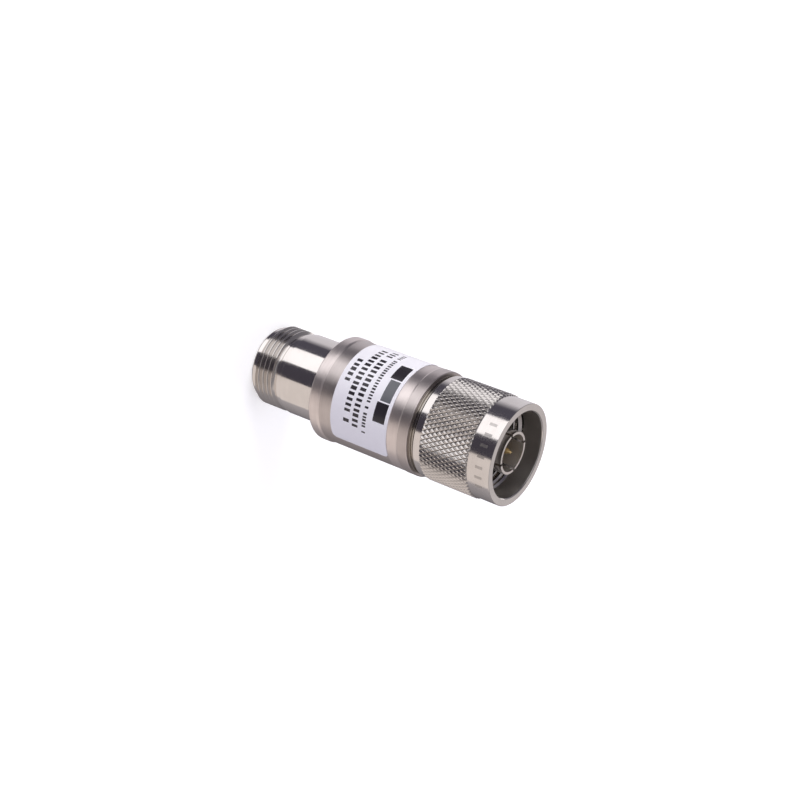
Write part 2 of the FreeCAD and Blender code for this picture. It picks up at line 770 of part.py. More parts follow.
SUB_PARTS = [
    "jack_body", "jack_insulator", "jack_retaining_sleeve", "jack_center_contact",
    "housing", "rating_label",
    "attenuator_card", "resistor_film", "card_electrodes",
    "card_clamp_front", "card_clamp_back", "spring_washer",
    "flange_washer", "plug_body", "plug_insulator", "plug_outer_contact", "plug_center_pin",
    "mating_gasket", "snap_ring", "coupling_nut",
]

for item in document.Objects:
    if "Invalid" in item.State or "Error" in item.State:
        raise RuntimeError(f"{item.Name} failed: {item.State}")

os.makedirs("parts", exist_ok=True)
for name in SUB_PARTS:
    shape = document.getObject(name).Shape
    if shape.isNull() or not shape.isValid():
        raise RuntimeError(f"{name} has no valid shape")
    shape.exportStep(f"parts/{name}.step")
    print(name, round(shape.Volume, 2), "mm3", len(shape.Solids), "solid(s)")
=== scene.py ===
import math

import bmesh
import bpy
from mathutils import Matrix, Vector


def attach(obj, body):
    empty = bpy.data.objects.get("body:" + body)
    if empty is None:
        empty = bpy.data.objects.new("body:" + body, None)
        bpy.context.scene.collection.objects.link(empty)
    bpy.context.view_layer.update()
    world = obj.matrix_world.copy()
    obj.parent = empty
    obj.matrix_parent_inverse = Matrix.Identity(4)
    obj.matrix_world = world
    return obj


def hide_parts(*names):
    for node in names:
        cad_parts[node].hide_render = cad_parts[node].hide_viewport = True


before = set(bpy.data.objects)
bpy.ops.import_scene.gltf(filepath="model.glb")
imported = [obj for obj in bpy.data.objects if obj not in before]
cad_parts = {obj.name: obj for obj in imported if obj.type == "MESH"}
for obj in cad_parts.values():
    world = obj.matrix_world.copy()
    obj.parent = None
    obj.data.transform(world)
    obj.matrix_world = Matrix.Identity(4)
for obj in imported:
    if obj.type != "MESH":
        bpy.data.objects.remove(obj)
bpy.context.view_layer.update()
scene = bpy.context.scene
scene.view_settings.view_transform = "Standard"
MM = 0.001

# Camera: a long view from the plug's side, from above, of the part as it stands
# on its jack. It is rolled, so that the axis runs down to the right.
LENS_MM = 66.42
SENSOR_MM = 36.0
CAMERA_PLACE_MM = (-1.75, -234.1, 167.3)
CAMERA_RIGHT = (-0.35248, 0.47540, 0.80607)
CAMERA_UP = (-0.93582, -0.17906, -0.30361)
CAMERA_BACK = (0.0, -0.86135, 0.50801)

camera_data = bpy.data.cameras.new("camera")
camera_data.sensor_width = SENSOR_MM
camera_data.lens = LENS_MM
camera_data.clip_start = 0.01
camera = bpy.data.objects.new("camera", camera_data)
scene.collection.objects.link(camera)
camera_axes = Matrix((CAMERA_RIGHT, CAMERA_UP, CAMERA_BACK)).transposed().to_4x4()
camera.matrix_world = Matrix.Translation(Vector(CAMERA_PLACE_MM) * MM) @ camera_axes
scene.camera = camera

# Floor: a wide pale paper sheet under the part. It looks white from near and
# far, and keeps the part's soft shadow.
FLOOR_RADIUS_M = 3.0
FLOOR_SIDES = 64
FLOOR_COLOUR = (0.86, 0.86, 0.87, 1)
NEAR_GLOW, FAR_GLOW = (0.42, 0.42, 0.42, 1), (0.75, 0.75, 0.75, 1)
NEAR_MM, FAR_MM = 160, 420


class Value:
    """A node's socket in arithmetic: each operation adds its Math node."""

    def __init__(self, nodes, socket):
        self.nodes = nodes
        self.socket = socket

    def __add__(self, other):
        return self.nodes.math("ADD", self, other)

    def __radd__(self, other):
        return self.nodes.math("ADD", other, self)

    def __sub__(self, other):
        return self.nodes.math("SUBTRACT", self, other)

    def __rsub__(self, other):
        return self.nodes.math("SUBTRACT", other, self)

    def __mul__(self, other):
        return self.nodes.math("MULTIPLY", self, other)

    def __rmul__(self, other):
        return self.nodes.math("MULTIPLY", other, self)

    def __truediv__(self, other):
        return self.nodes.math("DIVIDE", self, other)

    def __rtruediv__(self, other):
        return self.nodes.math("DIVIDE", other, self)

    def __gt__(self, other):
        return self.nodes.math("GREATER_THAN", self, other)

    def __lt__(self, other):
        return self.nodes.math("LESS_THAN", self, other)


class Nodes:
    """A node tree that is filled by name."""

    def __init__(self, tree):
        self.tree = tree

    def add(self, kind, settings=None, inputs=None, output=0):
        """Adds a node: its settings first, then values or links on its sockets."""
        node = self.tree.nodes.new(kind)
        for name, setting in (settings or {}).items():
            setattr(node, name, setting)
        for name, given in (inputs or {}).items():
            if isinstance(given, Value):
                self.tree.links.new(given.socket, node.inputs[name])
            else:
                node.inputs[name].default_value = given
        if output is None:
            return node
        return Value(self, node.outputs[output])

    def math(self, operation, *numbers):
        return self.add("ShaderNodeMath", {"operation": operation}, dict(enumerate(numbers)))

    def inside(self, value, low, high):
        """1 between two limits and 0 outside them."""
        return (value > low) * (value < high)


def new_material(name):
    """An empty node material and its nodes."""
    material = bpy.data.materials.new(name)
    material.use_nodes = True
    material.node_tree.nodes.clear()
    return material, Nodes(material.node_tree)


def add_object(name, mesh):
    """A mesh object at the origin, in the scene."""
    piece = bpy.data.objects.new(name, mesh)
    scene.collection.objects.link(piece)
    return piece


def place_mm(nodes):
    """The surface's place on the part in millimetres, as a vector and as (x, y, z)."""
    here = nodes.add("ShaderNodeTexCoord", output="Object")
    scaled = nodes.add("ShaderNodeVectorMath", {"operation": "SCALE"},
                       {"Vector": here, "Scale": 1 / MM})
    split = nodes.add("ShaderNodeSeparateXYZ", inputs={0: scaled}, output=None)
    return scaled, [Value(nodes, split.outputs[axis]) for axis in range(3)]


def mixed(nodes, share, first, second):
    """A colour between two colours."""
    return nodes.add("ShaderNodeMix", {"data_type": "RGBA"},
                     {"Factor": share, 6: first, 7: second}, output=2)


def stretched(nodes, value, low, high):
    """A value spread to the whole of 0 to 1 between two limits."""
    return nodes.add("ShaderNodeMapRange", inputs={
        "Value": value, "From Min": low, "From Max": high, "To Min": 0.0, "To Max": 1.0})


def seen_ray(nodes):
    """1 for the rays that show a surface to the camera, in a mirror or through glass."""
    rays = nodes.add("ShaderNodeLightPath", output=None)
    kinds = [Value(nodes, rays.outputs[f"Is {kind} Ray"])
             for kind in ("Camera", "Glossy", "Transmission")]
    return nodes.math("MAXIMUM", kinds[0], nodes.math("MAXIMUM", kinds[1], kinds[2]))


floor_material, nodes = new_material("floor_paper")
_, (x, y, _) = place_mm(nodes)
far_share = stretched(nodes, nodes.math("SQRT", x * x + y * y), NEAR_MM, FAR_MM)
paper = nodes.add("ShaderNodeBsdfDiffuse", inputs={"Color": FLOOR_COLOUR})
glow = nodes.add("ShaderNodeEmission", inputs={
    "Color": mixed(nodes, far_share, NEAR_GLOW, FAR_GLOW), "Strength": 1.0})
lifted = nodes.add("ShaderNodeAddShader", inputs={0: paper, 1: glow})
shown = nodes.add("ShaderNodeMixShader", inputs={0: seen_ray(nodes), 1: paper, 2: lifted})
nodes.add("ShaderNodeOutputMaterial", inputs={"Surface": shown}, output=None)

sheet = bmesh.new()
bmesh.ops.create_circle(sheet, cap_ends=True, radius=FLOOR_RADIUS_M, segments=FLOOR_SIDES)
floor_mesh = bpy.data.meshes.new("floor")
sheet.to_mesh(floor_mesh)
sheet.free()
floor_mesh.materials.append(floor_material)
floor = add_object("floor", floor_mesh)
floor.visible_glossy = False

# Studio light: an even pale world, and three lamps above and beside the part.
# Camera and gloss see the world white, and nothing mirrors the lamps.
WORLD_FILL = (0.90, 0.87, 0.98, 1)
WORLD_STRENGTH = 0.58

world = bpy.data.worlds.new("studio")
world.use_nodes = True
world.node_tree.nodes.clear()
scene.world = world
nodes = Nodes(world.node_tree)
fill = nodes.add("ShaderNodeBackground", inputs={"Color": WORLD_FILL, "Strength": WORLD_STRENGTH})
white = nodes.add("ShaderNodeBackground", inputs={"Color": (1, 1, 1, 1), "Strength": 1.0})
sky = nodes.add("ShaderNodeMixShader", inputs={0: seen_ray(nodes), 1: fill, 2: white})
nodes.add("ShaderNodeOutputWorld", inputs={"Surface": sky}, output=None)

PART_MIDDLE_MM = (0, 0, 28)
# name, direction from the front towards -X in degrees, height in degrees,
# distance and width in millimetres, watts, colour
LAMPS = [
    ("key_lamp", 62, 22, 420, 260, 0.95, (1.0, 0.99, 0.97)),
    ("fill_lamp", -48, 30, 520, 320, 0.22, (0.92, 0.88, 1.0)),
    ("top_lamp", 180, 62, 520, 320, 0.55, (1.0, 1.0, 1.0)),
]


def direction(turn, height):
    """The unit vector at an angle from the front towards -X, and above the floor."""
    turn, height = math.radians(turn), math.radians(height)
    return Vector((-math.sin(turn) * math.cos(height), -math.cos(turn) * math.cos(height),
                   math.sin(height)))


for name, turn, height, distance, width, watts, colour in LAMPS:
    lamp_data = bpy.data.lights.new(name, "AREA")
    lamp_data.size = width * MM
    lamp_data.energy = watts
    lamp_data.color = colour
    lamp = bpy.data.objects.new(name, lamp_data)
    scene.collection.objects.link(lamp)
    away = direction(turn, height)
    lamp.location = (Vector(PART_MIDDLE_MM) + away * distance) * MM
    lamp.rotation_euler = away.to_track_quat("Z", "Y").to_euler()
    lamp.visible_glossy = False

# Studio cards: white and black boards round the part, seen only in its gloss.
# They stand for the photographer's soft box, flags, lamp, table and walls.
CARD_DISTANCE_MM = 480
CARD_LOW, CARD_HIGH = -62, 58
BLACK_BOARD, BACK_TABLE = (0.092, 0.086, 0.112), (0.78, 0.75, 0.80)
BACK_WALL = (0.30, 0.29, 0.32)
# name, first and last direction from the front towards -X, lowest and highest
# angle, tone at the first direction and at the last
CARDS = [
    ("front_flag", -29, 14, CARD_LOW, CARD_HIGH, (0.064, 0.057, 0.074), (0.070, 0.063, 0.082)),
    ("soft_box", 14, 61, CARD_LOW, CARD_HIGH, (1.42, 1.39, 1.43), (1.42, 1.38, 1.42)),
    ("upper_flag", 61, 92, CARD_LOW, CARD_HIGH, BLACK_BOARD, BLACK_BOARD),
    ("table_edge", 92, 112, CARD_LOW, 4, BLACK_BOARD, BACK_TABLE),
    ("back_table", 112, 160, CARD_LOW, 4, BACK_TABLE, BACK_TABLE),
    ("back_wall", 92, 148, 4, CARD_HIGH, BLACK_BOARD, BACK_WALL),
    ("back_lamp", 148, 160, 4, 22, (1.40, 1.35, 1.36), (1.40, 1.35, 1.36)),
    ("back_corner", 148, 160, 22, CARD_HIGH, BACK_WALL, BACK_WALL),
    ("back_window", 160, 190, CARD_LOW, CARD_HIGH, (0.62, 0.58, 0.59), (0.62, 0.58, 0.59)),
    ("far_table", -170, -100, CARD_LOW, CARD_HIGH, (0.14, 0.13, 0.14), (0.46, 0.43, 0.45)),
    ("near_table", -100, -29, CARD_LOW, CARD_HIGH, (0.84, 0.76, 0.73), (0.84, 0.76, 0.73)),
    ("under_card", -180, 180, -90, CARD_LOW, (0.50, 0.49, 0.50), (0.50, 0.49, 0.50)),
    ("over_card", -180, 180, CARD_HIGH, 90, (0.30, 0.29, 0.31), (0.30, 0.29, 0.31)),
]
CARD_STEP_DEGREES = 6


def turn_about_axis(nodes, x, y):
    """The surface's angle from the front towards -X, in degrees."""
    return nodes.math("ARCTAN2", x * -1, y * -1) * (180 / math.pi)


for name, first, last, low, high, first_tone, last_tone in CARDS:
    card_material, nodes = new_material(f"{name}_board")
    _, (x, y, _) = place_mm(nodes)
    share = stretched(nodes, turn_about_axis(nodes, x, y), first, last)
    glow = nodes.add("ShaderNodeEmission", inputs={
        "Color": mixed(nodes, share, (*first_tone, 1), (*last_tone, 1)), "Strength": 1.0})
    nodes.add("ShaderNodeOutputMaterial", inputs={"Surface": glow}, output=None)
    turns = max(2, round((last - first) / CARD_STEP_DEGREES))
    heights = max(2, round((high - low) / CARD_STEP_DEGREES))
    points = [direction(first + (last - first) * i / turns, low + (high - low) * j / heights)
              * CARD_DISTANCE_MM * MM for j in range(heights + 1) for i in range(turns + 1)]
    faces = [(j * (turns + 1) + i, j * (turns + 1) + i + 1,
              (j + 1) * (turns + 1) + i + 1, (j + 1) * (turns + 1) + i)
             for j in range(heights) for i in range(turns)]
    card_mesh = bpy.data.meshes.new(name)
    card_mesh.from_pydata(points, [], faces)
    card_mesh.materials.append(card_material)
    card = add_object(name, card_mesh)
    card.visible_camera = False
    card.visible_diffuse = False
    card.visible_transmission = False
    card.visible_shadow = False

# Jack body: turned brass under bright nickel, held by its spigot in the
# housing's rear bore. Each edge is broken a little, as a lathe tool leaves it.
# Its own bores take the mating plug, the jack's contact and the white bead.
LINE_RADIUS, BEAD_BORE = 3.5, 3.93
CONTACT_SEAT, REFERENCE_PLANE, MOUTH_DEPTH = 4.04, 9.1, 4.05
JACK_BEAD_LOW = 12.4
JACK_PILOT, JACK_COLLAR, JACK_SHANK, JACK_SPIGOT = 7.3, 7.73, 7.93, 7.0
HOUSING_LOW, JACK_SPIGOT_TOP = 16.5, 21.2
SHOULDER_GAP = 0.02
TURNED_COLUMNS = 192
EDGE_HOLD = 0.05
EDGE_STEPS = 4
ON_AXIS = 1e-4
WELD_M = 1e-7
SHARP_ANGLE = math.radians(35)


def outline_points(corners, closed=True):
    """Points of an outline of (radius, height, edge round) corners, in millimetres."""
    points = []
    for number, (across, up, edge_round) in enumerate(corners):
        here = Vector((across, up))
        at_end = not closed and number in (0, len(corners) - 1)
        if edge_round == 0 or at_end:
            points.append(here)
            continue
        before = (here - Vector(corners[number - 1][:2])).normalized()
        after = (Vector(corners[(number + 1) % len(corners)][:2]) - here).normalized()
        start, end = here - before * edge_round, here + after * edge_round
        points.append(start - before * EDGE_HOLD)
        for step in range(EDGE_STEPS + 1):
            share = step / EDGE_STEPS
            points.append(start * (1 - share) ** 2 + here * 2 * share * (1 - share)
                          + end * share ** 2)
        points.append(end + after * EDGE_HOLD)
    return points


def turned_shell(mesh, corners, closed=True, columns=TURNED_COLUMNS, first_angle=0.0):
    """Adds the outline spun about the axis to a bmesh."""
    rings = []
    for across, up in outline_points(corners, closed):
        if across < ON_AXIS:
            rings.append([mesh.verts.new((0, 0, up * MM))])
            continue
        ring = []
        for column in range(columns):
            angle = first_angle + 2 * math.pi * column / columns
            place = Vector((across * math.cos(angle), across * math.sin(angle), up))
            ring.append(mesh.verts.new(place * MM))
        rings.append(ring)
    for lower, upper in zip(rings, rings[1:] + (rings[:1] if closed else [])):
        for column in range(columns):
            beside = (column + 1) % columns
            corners_of_face = [lower[column % len(lower)], lower[beside % len(lower)],
                               upper[beside % len(upper)], upper[column % len(upper)]]
            face = list(dict.fromkeys(corners_of_face))
            if len(face) > 2:
                mesh.faces.new(face)


def finished(mesh, name, material):
    """Closes a bmesh's seams, points its faces outwards and makes it an object."""
    bmesh.ops.remove_doubles(mesh, verts=mesh.verts, dist=WELD_M)
    bmesh.ops.dissolve_degenerate(mesh, edges=mesh.edges, dist=WELD_M)
    bmesh.ops.recalc_face_normals(mesh, faces=mesh.faces)
    plain = bpy.data.meshes.new(name)
    mesh.to_mesh(plain)
    mesh.free()
    plain.shade_smooth()
    plain.set_sharp_from_angle(angle=SHARP_ANGLE)
    plain.materials.clear()
    plain.materials.append(material)
    return add_object(name, plain)


def reach_from_axis(nodes, x, y):
    """The surface's distance from the part's axis."""
    return nodes.math("SQRT", x * x + y * y)


# how much the lathe marks change round the part, and how many patches of haze
# and specks of wear there are to the millimetre
ROUND_DRIFT = 0.05
HAZE_PER_MM, SPECKS_PER_MM = 0.22, 2.6


def lathe_marks(nodes, x, y, z, per_mm):
    """Fine lines round the axis, as a turning tool leaves them."""
    along = nodes.add("ShaderNodeCombineXYZ", inputs={
        0: reach_from_axis(nodes, x, y) * per_mm + x * ROUND_DRIFT,
        1: y * ROUND_DRIFT, 2: z * per_mm})
    return nodes.add("ShaderNodeTexNoise", inputs={
        "Vector": along, "Scale": 1.0, "Detail": 4.0, "Roughness": 0.6})


def clouds(nodes, place, per_mm, detail=4.0):
    """Soft uneven patches."""
    return nodes.add("ShaderNodeTexNoise", inputs={
        "Vector": place, "Scale": per_mm, "Detail": detail, "Roughness": 0.55})


def zone_between(least, most, low, high):
    """A mask of what lies between two reaches from the axis and two heights."""
    def mask(nodes, x, y, z):
        return (nodes.inside(reach_from_axis(nodes, x, y), least, most)
                * nodes.inside(z, low, high))
    return mask


def turned_metal(name, light, dark, smooth, rough, mark_depth, marks_per_mm, zones=()):
    """Plated or bare turned metal, with lathe marks, haze and handling marks.

    Each zone is (mask function, brightness inside it, roughness added inside it).
    """
    material, nodes = new_material(name)
    place, (x, y, z) = place_mm(nodes)
    marks = lathe_marks(nodes, x, y, z, marks_per_mm)
    haze = stretched(nodes, clouds(nodes, place, HAZE_PER_MM), 0.35, 0.65)
    specks = stretched(nodes, clouds(nodes, place, SPECKS_PER_MM, 2.0), 0.66, 0.74)
    tint = haze * 0.5 + stretched(nodes, marks, 0.3, 0.7) * 0.35 + specks * 0.25
    colour = mixed(nodes, tint, light, dark)
    roughness = smooth + (rough - smooth) * (haze * 0.55 + marks * 0.45)
    for mask, brightness, added in zones:
        zone = mask(nodes, x, y, z)
        colour = nodes.add("ShaderNodeVectorMath", {"operation": "SCALE"}, {
            "Vector": colour, "Scale": 1 + zone * (brightness - 1)})
        roughness = roughness + zone * added
    bump = nodes.add("ShaderNodeBump", inputs={
        "Height": marks, "Strength": 1.0, "Distance": mark_depth * MM})
    metal = nodes.add("ShaderNodeBsdfPrincipled", inputs={
        "Base Color": colour,
        "Metallic": 1.0,
        "Roughness": roughness,
        "Normal": bump})
    nodes.add("ShaderNodeOutputMaterial", inputs={"Surface": metal}, output=None)
    return material


THREAD_LOW, THREAD_HIGH = 1.5, 5.8
# Painted shade: the jack's thread is painted about a seventh darker, for the shade that falls in
# its grooves, and made a little rougher.
thread_shade_zone = zone_between(0, JACK_SHANK, THREAD_LOW - 0.05, THREAD_HIGH + 0.2)
bright_nickel = turned_metal(
    "bright_nickel", light=(0.76, 0.73, 0.70, 1), dark=(0.68, 0.65, 0.62, 1),
    smooth=0.08, rough=0.17, mark_depth=0.0005, marks_per_mm=7.0,
    zones=[(thread_shade_zone, 0.86, 0.05)])

# Jack's coupling thread: cut at 24 turns to the inch with a 60 degree groove.
# The rows of its surface follow the helix, sixteen to a turn; the crest and
# root values are the shares of half a pitch where each flank begins and ends.
INCH_MM = 25.4
THREAD_PITCH = INCH_MM / 24
THREAD_ROWS = 16
THREAD_COLUMNS = 160
THREAD_CREST = 0.875
THREAD_ROOT = 0.125
THREAD_WELD_M = 2e-7


def tree_input(tree, name, kind, identifiers):
    """Adds a named input to a tree and keeps its identifier."""
    item = tree.interface.new_socket(name, in_out="INPUT", socket_type=kind)
    identifiers[name] = item.identifier


def run_tree(tree, identifiers, mesh, values):
    """The tree's result on a mesh, with its inputs set, as a plain mesh."""
    carrier = add_object("carrier", mesh)
    modifier = carrier.modifiers.new("tree", "NODES")
    modifier.node_group = tree
    for name, value in values.items():
        modifier[identifiers[name]] = value
    graph = bpy.context.evaluated_depsgraph_get()
    result = bpy.data.meshes.new_from_object(carrier.evaluated_get(graph), depsgraph=graph)
    bpy.data.objects.remove(carrier)
    return result


# Thread tree: a sheet of rows and columns is wrapped to a closed ring, whose
# radius follows the groove's outline along the helix. The first, last and
# returning rows are the ring's back, which lies inside the piece's metal.
thread_inputs = {}
thread_tree = bpy.data.node_groups.new("screw_thread", "GeometryNodeTree")
thread_tree.interface.new_socket("Geometry", in_out="OUTPUT", socket_type="NodeSocketGeometry")
for name in ("Crest", "Root", "Backing", "Start", "End", "Pitch", "Lead In", "Lead Out"):
    tree_input(thread_tree, name, "NodeSocketFloat", thread_inputs)
tree_input(thread_tree, "Turns", "NodeSocketInt", thread_inputs)
tree_input(thread_tree, "Columns", "NodeSocketInt", thread_inputs)
tree_input(thread_tree, "Material", "NodeSocketMaterial", thread_inputs)
nodes = Nodes(thread_tree)
given = nodes.add("NodeGroupInput", output=None)
crest, root, backing, start, end, pitch, lead_in, lead_out, turns, columns = (
    Value(nodes, given.outputs[name]) for name in (
        "Crest", "Root", "Backing", "Start", "End", "Pitch", "Lead In", "Lead Out",
        "Turns", "Columns"))
rows = turns * THREAD_ROWS + 3
grid = nodes.add("GeometryNodeMeshGrid", inputs={
    "Size X": columns, "Size Y": rows, "Vertices X": columns + 1, "Vertices Y": rows + 1},
    output="Mesh")
spot = nodes.add("ShaderNodeSeparateXYZ", inputs={
    0: nodes.add("GeometryNodeInputPosition")}, output=None)
column = Value(nodes, spot.outputs[0]) + columns / 2
row = nodes.math("ROUND", Value(nodes, spot.outputs[1]) + rows / 2)
turned_by = column / columns
first_row = row < 0.5
last_row = row > rows - 1.5
return_row = row > rows - 0.5
climb = pitch * turned_by
height = nodes.math("MINIMUM", nodes.math(
    "MAXIMUM", start - pitch + pitch * (row - 1) / THREAD_ROWS + climb, start), end)
phase = nodes.math("FRACT", (height - climb - start) / pitch + 4)
wave = nodes.math("ABSOLUTE", phase - 0.5) * 2
flank = nodes.math("MINIMUM", nodes.math(
    "MAXIMUM", (wave - THREAD_ROOT) / (THREAD_CREST - THREAD_ROOT), 0), 1)
backed = nodes.math("MAXIMUM", first_row, last_row)
reach = (root + (crest - root) * flank) * (1 - backed) + backing * backed
low_back = nodes.math("MAXIMUM", first_row, return_row)
high_back = last_row - return_row
height = (height * (1 - backed) + (start - lead_in) * low_back + (end + lead_out) * high_back)
angle = turned_by * 2 * math.pi
wrapped = nodes.add("ShaderNodeCombineXYZ", inputs={
    0: reach * nodes.math("COSINE", angle) * MM, 1: reach * nodes.math("SINE", angle) * MM,
    2: height * MM})
placed = nodes.add("GeometryNodeSetPosition", inputs={"Geometry": grid, "Position": wrapped})
welded = nodes.add("GeometryNodeMergeByDistance", inputs={
    "Geometry": placed, "Distance": THREAD_WELD_M})
real = nodes.add("GeometryNodeRealizeInstances", inputs={"Geometry": welded})
coated = nodes.add("GeometryNodeSetMaterial", inputs={
    "Geometry": real, "Material": Value(nodes, given.outputs["Material"])})
nodes.add("NodeGroupOutput", inputs={"Geometry": coated}, output=None)


def thread(crest, root, backing, start, end, lead_in, lead_out):
    """A helical thread on a closed ring of metal, in millimetres."""
    return run_tree(thread_tree, thread_inputs, bpy.data.meshes.new("thread"), {
        "Crest": crest, "Root": root, "Backing": backing, "Start": start, "End": end,
        "Pitch": THREAD_PITCH, "Lead In": lead_in, "Lead Out": lead_out,
        "Turns": math.ceil((end - start) / THREAD_PITCH) + 1, "Columns": THREAD_COLUMNS,
        "Material": bright_nickel})


shoulder = HOUSING_LOW - SHOULDER_GAP
jack = bmesh.new()
turned_shell(jack, [
    (4.6, 0.0, 0.06), (6.9, 0.0, 0.1), (JACK_PILOT, 0.45, 0.12), (JACK_PILOT, 1.15, 0.05),
    (7.24, 1.2, 0.0), (7.24, 6.02, 0.0), (7.2, 6.0, 0.0), (7.2, 6.1, 0.04),
    (7.71, 6.72, 0.04), (JACK_COLLAR, 7.66, 0.03), (JACK_SHANK, 7.73, 0.03),
    (JACK_SHANK, shoulder, 0.0), (JACK_SPIGOT, shoulder, 0.0),
    (JACK_SPIGOT, JACK_SPIGOT_TOP, 0.0), (BEAD_BORE, JACK_SPIGOT_TOP, 0.0),
    (BEAD_BORE, JACK_BEAD_LOW, 0.0), (LINE_RADIUS, JACK_BEAD_LOW, 0.0),
    (LINE_RADIUS, REFERENCE_PLANE, 0.05), (CONTACT_SEAT, REFERENCE_PLANE, 0.0),
    (CONTACT_SEAT, MOUTH_DEPTH, 0.0), (4.3, MOUTH_DEPTH, 0.0), (4.3, 0.3, 0.05),
])
jack.from_mesh(thread(crest=7.92, root=7.26, backing=7.21, start=THREAD_LOW, end=THREAD_HIGH,
                      lead_in=0.35, lead_out=0.32))
jack_body = finished(jack, "jack_shell", bright_nickel)
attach(jack_body, "body")
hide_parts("jack_body")

# Housing: a stainless tube, turned and passivated to a warm satin grey. The
# seat between its rims is a little lower than they are, so that the label's
# edges aren't rubbed. The rear rim and the land by the front rim get a painted
# sheen: their colour is lifted, so that they mirror brighter.
REAR_RIM, LABEL_SEAT, FRONT_RIM = 10.15, 9.935, 10.01
REAR_BORE, CLAMP_BORE, FRONT_BORE = 7.03, 7.6, 8.03
REAR_RIM_TOP, SEAT_LOW, SEAT_HIGH, FRONT_RIM_LOW = 18.46, 18.82, 36.34, 36.6
FRONT_BORE_LOW, HOUSING_HIGH = 33.4, 38.7
LABEL_LOW, LABEL_HIGH = 21.6, 34.2

# Painted sheen: the colour on the rear rim and on the land by the front rim is lifted by about a
# quarter.
rear_rim_sheen_zone = zone_between(LABEL_SEAT + 0.015, REAR_RIM + 0.05, HOUSING_LOW - 0.1, 18.9)
front_land_sheen_zone = zone_between(LABEL_SEAT - 0.035, 10.0, LABEL_HIGH, FRONT_RIM_LOW)
satin_nickel = turned_metal(
    "satin_nickel", light=(0.62, 0.57, 0.55, 1), dark=(0.50, 0.455, 0.44, 1),
    smooth=0.31, rough=0.42, mark_depth=0.0016, marks_per_mm=5.0,
    zones=[(rear_rim_sheen_zone, 1.27, -0.01), (front_land_sheen_zone, 1.27, -0.02)])

tube = bmesh.new()
turned_shell(tube, [
    (REAR_BORE, HOUSING_LOW, 0.0), (REAR_RIM, HOUSING_LOW, 0.32), (REAR_RIM, REAR_RIM_TOP, 0.1),
    (LABEL_SEAT, SEAT_LOW, 0.06), (LABEL_SEAT, SEAT_HIGH, 0.06), (FRONT_RIM, FRONT_RIM_LOW, 0.06),
    (FRONT_RIM, HOUSING_HIGH, 0.2), (FRONT_BORE, HOUSING_HIGH, 0.0),
    (FRONT_BORE, FRONT_BORE_LOW, 0.0), (CLAMP_BORE, FRONT_BORE_LOW, 0.0),
    (CLAMP_BORE, JACK_SPIGOT_TOP, 0.0), (REAR_BORE, JACK_SPIGOT_TOP, 0.0),
])
housing = finished(tube, "housing_tube", satin_nickel)
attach(housing, "body")
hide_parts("housing")

# Rating label: white printed film with round corners, glued in the housing's
# seat on the side that is read. Its print is only plain blocks and rows of
# short dashes of uneven width.
LABEL_RADIUS = 9.955
LABEL_THICKNESS = 0.08
LABEL_FIRST, LABEL_LAST = -60.0, 94.0
LABEL_CORNER = 1.0
LABEL_COLUMNS = 120
LABEL_CORNER_STEPS = 8
PAPER, PAPER_SHADE = (0.86, 0.85, 0.885, 1), (0.83, 0.82, 0.86, 1)
INK = (0.022, 0.019, 0.024, 1)
GREY_INK = (0.115, 0.12, 0.13, 1)
# lowest and highest edge, first angle and pitch in degrees, count, random seed
PRINT_ROWS = [
    (28.75, 29.55, -38, 3.4, 32, 11),
    (26.55, 27.85, -35, 5.6, 19, 23),
    (24.55, 25.85, -33, 5.9, 17, 37),
    (22.6, 23.75, 9, 6.2, 5, 41),
]
# where each dash begins in its share of the row, where the shortest ends, how
# much further the longest goes, and the share of dashes left out
DASH_START, DASH_END, DASH_SPREAD, DASH_GAPS = 0.14, 0.60, 0.26, 0.12
# first and last angle, lowest and highest edge
DARK_BLOCKS = [(-20, 1, 30.9, 33.5), (29, 50, 30.9, 33.5)]
GREY_BLOCK = (2.5, 27.5, 31.3, 33.5)


def print_row(nodes, turn, z, low, high, first, pitch, count, seed):
    """A row of short dashes between two heights, with a few left out."""
    along = (turn - first) / pitch
    chance = nodes.add("ShaderNodeTexWhiteNoise", {"noise_dimensions": "1D"},
                       {"W": nodes.math("FLOOR", along) + seed}, output="Value")
    dash = nodes.inside(nodes.math("FRACT", along), DASH_START, DASH_END + chance * DASH_SPREAD)
    return (dash * (chance > DASH_GAPS) * nodes.inside(z, low, high)
            * nodes.inside(along, 0, count))


def print_block(nodes, turn, z, first, last, low, high):
    """A plain block between two angles and two heights."""
    return nodes.inside(turn, first, last) * nodes.inside(z, low, high)


label_film, nodes = new_material("label_film")
place, (x, y, z) = place_mm(nodes)
turn = turn_about_axis(nodes, x, y)
marks = ([print_row(nodes, turn, z, *row) for row in PRINT_ROWS]
         + [print_block(nodes, turn, z, *block) for block in DARK_BLOCKS])
ink = marks[0]
for mark in marks[1:]:
    ink = nodes.math("MAXIMUM", ink, mark)
fade = clouds(nodes, place, 1.3)
paper = mixed(nodes, fade, PAPER, PAPER_SHADE)
grey = print_block(nodes, turn, z, *GREY_BLOCK)
printed = mixed(nodes, ink, mixed(nodes, grey, paper, GREY_INK), INK)
film = nodes.add("ShaderNodeBsdfPrincipled", inputs={
    "Base Color": printed,
    "Roughness": 0.26 + fade * 0.10 - ink * 0.06,
    "Normal": nodes.add("ShaderNodeBump", inputs={
        "Height": clouds(nodes, place, 3.0), "Strength": 0.4, "Distance": 0.01 * MM})})
nodes.add("ShaderNodeOutputMaterial", inputs={"Surface": film}, output=None)

